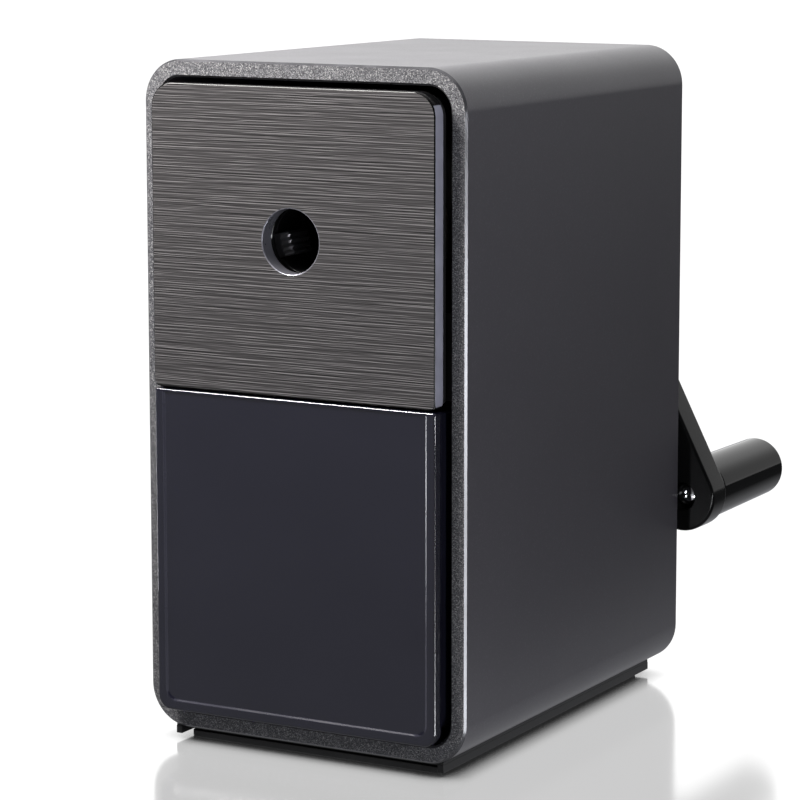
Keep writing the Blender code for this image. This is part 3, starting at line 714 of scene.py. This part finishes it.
def make_screw(name, node, place, head_radius, head, shank_radius, length, finish=STEEL):
    """Domed screw with a cross drive; its head points along the place's Z, its seat is the origin."""
    dome = [(0, head)]
    for step in range(1, 9):
        angle = math.pi / 2 * step / 8
        lift = head * (0.35 + 0.65 * math.cos(angle))
        dome.append((head_radius * math.sin(angle), lift))
    corners = [
        (head_radius, 0.35 * head), (head_radius, 0), (shank_radius, 0), (shank_radius, -length),
        (0, -length),
    ]
    shank = filleted(corners, 0.12 * MM, 2)
    screw = piece(name, lathe(dome + shank[1:], place, 64))
    combine(screw, cross_recess(place, 0.5 * head_radius, 0.6 * head, head))
    return dress(screw, node, finish, angle=30.0)


def make_screws():
    for i in range(1, 5):
        node = f"rear_cover_screw_{i}"
        middle, rear = centre_of(node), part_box(node)[1].y
        head = 1.3 * MM
        place = pointing(BACKWARD, middle.x, rear - head, middle.z)
        make_screw(f"panel_screw_{i}", node, place, 2.7 * MM, head, 1.2 * MM, 9.0 * MM)
        node = f"base_screw_{i}"
        middle, (low, high) = centre_of(node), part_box(node)
        head = 0.8 * MM
        place = pointing(DOWN, middle.x, middle.y, low.z + head)
        make_screw(f"foot_screw_{i}", node, place, 2.6 * MM, head, 1.2 * MM, high.z - low.z - head)
    for i in (1, 2):
        node = f"ring_gear_screw_{i}"
        head = 0.9 * MM
        place = pointing(BACKWARD, centre_of(node).x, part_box(node)[1].y - head, AXIS_Z)
        make_screw(f"gear_screw_{i}", node, place, 1.9 * MM, head, 1.1 * MM, 6.5 * MM)
    head = 1.5 * MM
    place = pointing(BACKWARD, 0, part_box("crank_screw")[1].y - head, AXIS_Z)
    make_screw("hub_screw", "crank_screw", place, 3.9 * MM, head, 1.3 * MM, 6.0 * MM)
    head = 0.9 * MM
    place = pointing(FORWARD, KNOB_AXIS.x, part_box("knob_axle")[0].y + head, KNOB_AXIS.z)
    make_screw("knob_pin", "knob_axle", place, 2.05 * MM, head, 1.5 * MM, 24.8 * MM, CHROME)


# Crank


def make_crank_arm():
    shaft_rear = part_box("drive_shaft")[1].y
    arm_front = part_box("crank_arm")[0].y
    knob_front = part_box("knob")[0].y
    pin_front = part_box("knob_axle")[0].y
    rear = knob_front - ARM_TO_KNOB
    front = rear - ARM_THICK
    reach = Vector((KNOB_AXIS.x, KNOB_AXIS.z - AXIS_Z))
    lean = math.degrees(math.acos((HUB_R - ARM_END_R) / reach.length))
    towards = math.degrees(math.atan2(reach.y, reach.x))
    outline = arc(0, AXIS_Z, HUB_R, towards + lean, towards + 360 - lean, 60)
    outline += arc(KNOB_AXIS.x, KNOB_AXIS.z, ARM_END_R, towards - lean, towards + lean, 40)
    arm = piece("crank_lever", prism(outline, front, rear))
    soften(arm, 0.55 * MM, 4, 60.0)
    knob_x, knob_z = KNOB_AXIS.x, KNOB_AXIS.z
    hub_boss = prism(circle(ARM_BOSS_R, 96, 0, AXIS_Z), arm_front, front + MM)
    knob_boss = prism(circle(KNOB_BOSS_R, 96, knob_x, knob_z), rear - MM, knob_front - 0.3 * MM)
    combine(arm, merged(hub_boss, knob_boss), "UNION")
    shaft_bore = prism(circle(SHAFT_BORE_R, 64, 0, AXIS_Z), arm_front - MM, shaft_rear + 0.1 * MM)
    axle_bore = prism(circle(AXLE_BORE_R, 48, knob_x, knob_z), front - MM, rear + 2 * MM)
    combine(arm, merged(shaft_bore, axle_bore))
    screw_seat = prism(circle(4.2 * MM, 96, 0, AXIS_Z), shaft_rear, rear + MM)
    pin_seat = prism(circle(2.6 * MM, 72, knob_x, knob_z), front - MM, pin_front + 1.2 * MM)
    combine(arm, merged(screw_seat, pin_seat))
    soften(arm, 0.15 * MM, 2, 60.0)
    return dress(arm, "crank_arm", GLOSS_ARM)


def make_knob():
    low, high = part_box("knob")
    radius, length = (high.x - low.x) / 2, high.y - low.y
    bore = [(0, AXLE_BORE_DEPTH), (AXLE_BORE_R, AXLE_BORE_DEPTH), (AXLE_BORE_R, 0)]
    side = [(radius - 0.4 * MM, 0), (radius, 0.45 * MM)]
    end = arc(KNOB_END_R - MM, length - MM, MM, 0, 90, 10)
    place = pointing(BACKWARD, KNOB_AXIS.x, low.y, KNOB_AXIS.z)
    knob = piece("crank_knob", lathe(bore + side + end + [(0, length)], place, 128))
    return dress(knob, "knob", GLOSS)


def make_shaft():
    low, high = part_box("drive_shaft")
    radius, length, tap = (high.x - low.x) / 2, high.y - low.y, 1.6 * MM
    tap_end = length - 6.4 * MM
    outline = [(0, 0), (radius, 0), (radius, length), (tap, length), (tap, tap_end), (0, tap_end)]
    turned = lathe(filleted(outline, 0.3 * MM, 3), pointing(BACKWARD, 0, low.y, AXIS_Z))
    return dress(piece("crank_shaft", turned), "drive_shaft", STEEL)


def make_bushing():
    low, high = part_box("shaft_bushing")
    bore, body, flange = SHAFT_BORE_R, 5.8 * MM, (high.x - low.x) / 2
    length = high.y - low.y
    step = length - 1.2 * MM
    outline = [(bore, 0), (body, 0), (body, step), (flange, step), (flange, length), (bore, length)]
    bushing = piece("crank_bushing", lathe(
        filleted(outline, 0.3 * MM, 3, closed=True), pointing(BACKWARD, 0, low.y, AXIS_Z)
    ))
    return dress(bushing, "shaft_bushing", BRASS)


# Stage

# World brightness along one part of a direction, as start, end, value at the start, value at the end
BEHIND = (-0.08, 0.75, 0.06, 1.28)
RIGHT = (0.02, 0.36, 1.0, 0.50)
OVERHEAD = (0.50, 0.90, 1.0, 0.30)
SKIRT = (0.0, 0.07, 0.12, 0.0)

# Lights that lie on the floor: name, start, end, width, power
FLOOR_STRIPS = (
    ("left_strip", (-0.14, -0.05), (-0.62, -0.065), 0.03, 0.65),
    ("right_strip", (0.045, -0.047), (0.30, -0.184), 0.03, 0.45),
    ("right_sheet", (0.30, -0.184), (0.70, -0.399), 0.11, 5.0),
)
WARM = (1.0, 0.97, 0.94)
COOL = (0.95, 0.97, 1.0)


def softbox(name, size, place, target, power, shade):
    """Rectangular light aimed at a point, which the camera doesn't see."""
    light = bpy.data.lights.new(name, "AREA")
    light.shape = "RECTANGLE"
    light.size, light.size_y = size
    light.energy = power
    light.color = shade
    made = bpy.data.objects.new(name, light)
    bpy.context.scene.collection.objects.link(made)
    made.location = place
    made.rotation_euler = (Vector(target) - Vector(place)).to_track_quat("-Z", "Y").to_euler()
    made.visible_camera = False
    return made


def make_floor():
    """Pale glossy sheet. To the camera it is white with a painted contact shadow, darker where things
    stand close over it; to everything else it glows as a painted bounce light, dimmer towards the
    right.
    """
    make = Finish("pale_floor")
    cloud = make.grain(3.0)
    # Painted contact shadow: ambient occlusion darkens the floor's white where things stand close over
    # it
    contact_shadow = make.add("ShaderNodeAmbientOcclusion", {"Distance": 5 * MM}, samples=12).outputs["AO"]
    shade = make.shades(
        contact_shadow, (0.30, grey(0.02)), (0.50, grey(0.45)), (0.80, grey(0.88)), (1.0, grey(0.96))
    )
    strength = make.spread(cloud, 0.3, 0.7, 0.99, 1.01)
    pale = make.add("ShaderNodeEmission", {"Color": shade, "Strength": strength})
    gloss = make.add("ShaderNodeBsdfGlossy", {"Color": (1.0, 1.0, 1.0, 1.0), "Roughness": 0.13})
    seen = make.add("ShaderNodeMixShader", {"Fac": 0.42})
    across = make.add("ShaderNodeSeparateXYZ", {"Vector": make.place}).outputs["X"]
    # Painted bounce light: for every ray but the camera's the floor glows, evenly over most of it and
    # fading away to the right of the sharpener
    near = make.spread(across, 0.02, 0.034, 0.45, 0.40)
    glow = make.math("MULTIPLY", near, make.spread(across, 0.042, 0.075, 1.0, 0.14))
    painted_bounce_glow = make.add("ShaderNodeEmission", {"Color": (0.95, 0.96, 1.0, 1.0), "Strength": glow})
    by_camera = make.add("ShaderNodeLightPath").outputs["Is Camera Ray"]
    choose = make.add("ShaderNodeMixShader", {"Fac": by_camera})
    links = make.tree.links
    links.new(pale.outputs[0], seen.inputs[1])
    links.new(gloss.outputs[0], seen.inputs[2])
    links.new(painted_bounce_glow.outputs[0], choose.inputs[1])
    links.new(seen.outputs[0], choose.inputs[2])
    links.new(choose.outputs[0], make.tree.nodes["Material Output"].inputs["Surface"])
    bm = bmesh.new()
    bm.faces.new([bm.verts.new((x, y, 0)) for x, y in circle(6.0, 96)])
    floor = piece("floor", bm)
    floor.location.z = -0.02 * MM
    floor.data.materials.append(make.material)


def make_world():
    """White to the camera; to everything else a soft studio, bright behind and dim at the right."""
    world = bpy.data.worlds.new("studio")
    world.use_nodes = True
    bpy.context.scene.world = world
    tree = world.node_tree
    nodes, links = tree.nodes, tree.links

    def fade(value, start, end, low, high):
        node = nodes.new("ShaderNodeMapRange")
        node.interpolation_type = "SMOOTHSTEP"
        for name, number in zip(("From Min", "From Max", "To Min", "To Max"), (start, end, low, high)):
            node.inputs[name].default_value = number
        links.new(value, node.inputs["Value"])
        return node.outputs[0]

    def joined(operation, first, second):
        node = nodes.new("ShaderNodeMath")
        node.operation = operation
        links.new(first, node.inputs[0])
        links.new(second, node.inputs[1])
        return node.outputs[0]

    split = nodes.new("ShaderNodeSeparateXYZ")
    links.new(nodes.new("ShaderNodeTexCoord").outputs["Generated"], split.inputs[0])
    x, y, z = split.outputs
    behind = fade(y, *BEHIND)
    right = fade(x, *RIGHT)
    overhead, skirt = fade(z, *OVERHEAD), fade(z, *SKIRT)
    soft = nodes["Background"]
    around = joined("MULTIPLY", joined("MULTIPLY", behind, right), overhead)
    links.new(joined("ADD", around, skirt), soft.inputs["Strength"])
    plain = nodes.new("ShaderNodeBackground")
    for background in (soft, plain):
        background.inputs["Color"].default_value = (1.0, 1.0, 1.0, 1.0)
    choose = nodes.new("ShaderNodeMixShader")
    links.new(nodes.new("ShaderNodeLightPath").outputs["Is Camera Ray"], choose.inputs[0])
    links.new(soft.outputs[0], choose.inputs[1])
    links.new(plain.outputs[0], choose.inputs[2])
    links.new(choose.outputs[0], nodes["World Output"].inputs["Surface"])


def make_sun():
    light = bpy.data.lights.new("overhead", "SUN")
    light.energy = 1.6
    light.angle = math.radians(70)
    made = bpy.data.objects.new("overhead", light)
    bpy.context.scene.collection.objects.link(made)
    made.rotation_euler = Vector((0.15, 0.25, -1.0)).to_track_quat("-Z", "Y").to_euler()


def make_camera():
    """The photo's camera, fitted to the edges measured in it, with a small shift."""
    yaw, pitch, roll = (math.radians(a) for a in (28.3195, 8.3002, -0.1287))
    data = bpy.data.cameras.new("camera")
    data.sensor_width = 36.0
    data.lens = 140.915
    data.shift_x, data.shift_y = -0.0825, -0.075
    camera = bpy.data.objects.new("camera", data)
    bpy.context.scene.collection.objects.link(camera)
    camera.location = (0.26215, -0.47123, 0.14361)
    turn = Matrix.Rotation(yaw, 4, "Z") @ Matrix.Rotation(math.pi / 2 - pitch, 4, "X")
    camera.rotation_euler = (turn @ Matrix.Rotation(-roll, 4, "Z")).to_euler()
    bpy.context.scene.camera = camera


def make_lights():
    """A warm key above the front, a fill from the right, and floor strips for the upright edges."""
    softbox("key_box", (0.12, 0.08), (-0.11, -0.15, 0.235), (0, -0.04, 0.115), 2.5, WARM)
    fill = softbox(
        "right_fill", (0.02, 0.16), (0.25, -0.15, 0.07), (0.03, -0.04, 0.07), 0.6, COOL
    )
    fill.visible_glossy = False
    for name, start, end, width, power in FLOOR_STRIPS:
        low, high = Vector((*start, 0.0)), Vector((*end, 0.0))
        middle, along = (low + high) / 2, high - low
        strip = softbox(name, (width, along.length), middle, middle, power, COOL)
        strip.rotation_euler = (math.pi, 0.0, math.atan2(along.y, along.x) + math.pi / 2)
        strip.visible_diffuse = False


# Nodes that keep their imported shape: node, finish, edge width, edge segments
REFINED = (
    ("foot_pad", RUBBER, 0.2 * MM, 2),
    ("jaw_housing", BLACK, 0.12 * MM, 2),
    ("guide_tube", BLACK, 0.12 * MM, 2),
    ("grip_jaw_top", JAW_BLACK, 0.07 * MM, 2),
    ("grip_jaw_left", JAW_BLACK, 0.07 * MM, 2),
    ("grip_jaw_right", JAW_BLACK, 0.07 * MM, 2),
    ("ring_gear", NYLON, 0.08 * MM, 2),
    ("cutter_carrier", NYLON, 0.15 * MM, 2),
    ("helical_cutter", STEEL, 0.04 * MM, 1),
    ("cutter_pinion", STEEL, 0.06 * MM, 1),
    ("shaft_clip", STEEL, 0.08 * MM, 2),
)


def main():
    make_sleeve()
    make_front_plate()
    make_entry_ring()
    make_drawer()
    make_rear_cover()
    make_crank_arm()
    make_knob()
    make_shaft()
    make_bushing()
    make_screws()
    refined("front_frame", BLACK, 0.12 * MM)
    refined("chassis", BLACK, 0.15 * MM)
    make_base()
    for node, finish, width, segments in REFINED:
        refined(node, finish, width, segments)
    # The springs and the cutter's axle stay in view as packed, with the finer finishes
    for name, node in frame["nodes"].items():
        if not node.hide_render:
            node.data.materials.clear()
            node.data.materials.append(FINISHES[SLOT_OF[name]])
    make_floor()
    make_world()
    make_sun()
    make_lights()
    make_camera()
    bpy.context.scene.view_settings.view_transform = "Standard"
    bpy.context.scene.view_settings.look = "None"


main()
